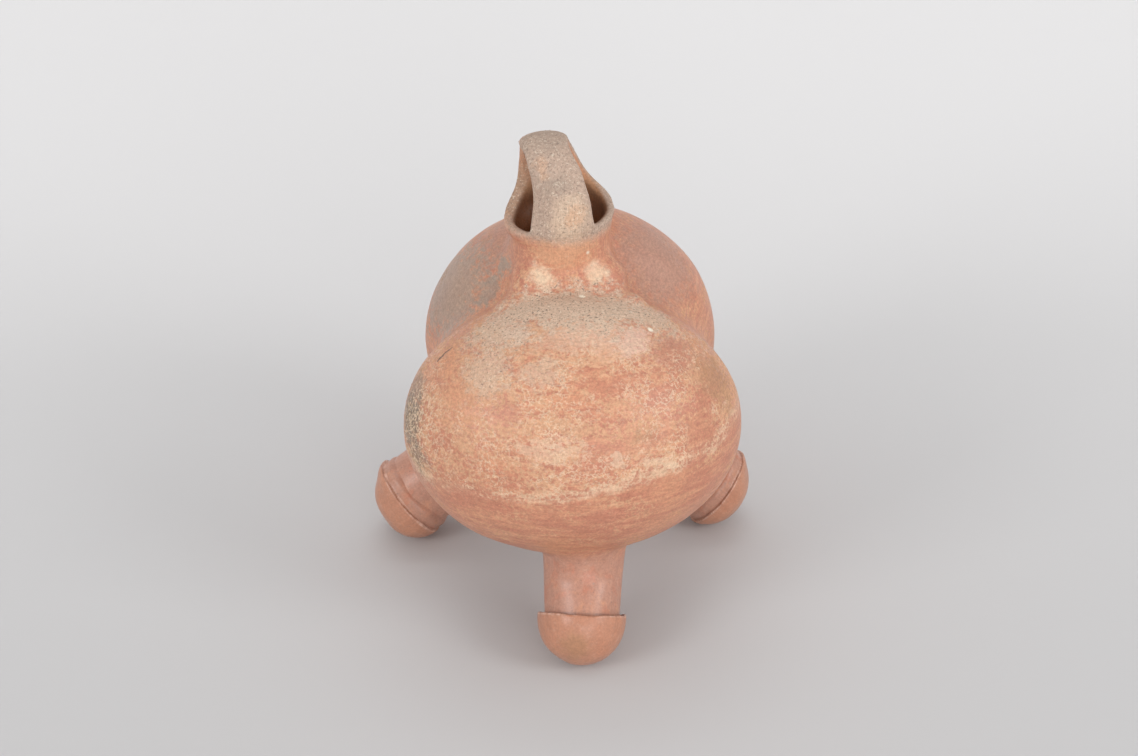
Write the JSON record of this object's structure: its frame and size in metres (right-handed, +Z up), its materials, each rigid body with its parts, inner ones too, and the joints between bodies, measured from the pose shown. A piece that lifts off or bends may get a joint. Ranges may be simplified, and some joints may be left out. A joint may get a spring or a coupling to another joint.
{
  "type": "askos vessel",
  "caption": "Hand-built ceramic askos of joined rounded chambers on splayed legs with domed feet, with a short neck and a strap handle arched over its mouth.",
  "frame": {"origin": "on the floor that the feet stand on, under the middle of the vessel's box", "axes": "+Z up through the mouth, -Y from the mouth towards the front chamber, +X to the right of someone facing that chamber"},
  "size_m": [0.1986, 0.1977, 0.2415],
  "materials": {
    "burnished_red_slip": "satin",
    "weathered_slip": "satin",
    "sandy_clay": "matte"
  },
  "bodies": {
    "root": {"front_lower_bowl": "burnished_red_slip", "front_upper_shell": "weathered_slip", "rear_lower_bowl": "burnished_red_slip", "rear_upper_shell": "weathered_slip", "waist_band": "weathered_slip", "neck": "sandy_clay", "neck_coil": "sandy_clay", "handle_front_strap": "sandy_clay", "handle_rear_tongue": "sandy_clay", "front_leg": "burnished_red_slip", "left_leg": "burnished_red_slip", "right_leg": "burnished_red_slip", "front_leg_coil": "burnished_red_slip", "left_leg_coil": "burnished_red_slip", "right_leg_coil": "burnished_red_slip", "front_foot_cap": "burnished_red_slip", "left_foot_cap": "burnished_red_slip", "right_foot_cap": "burnished_red_slip"}
  },
  "joints": []
}
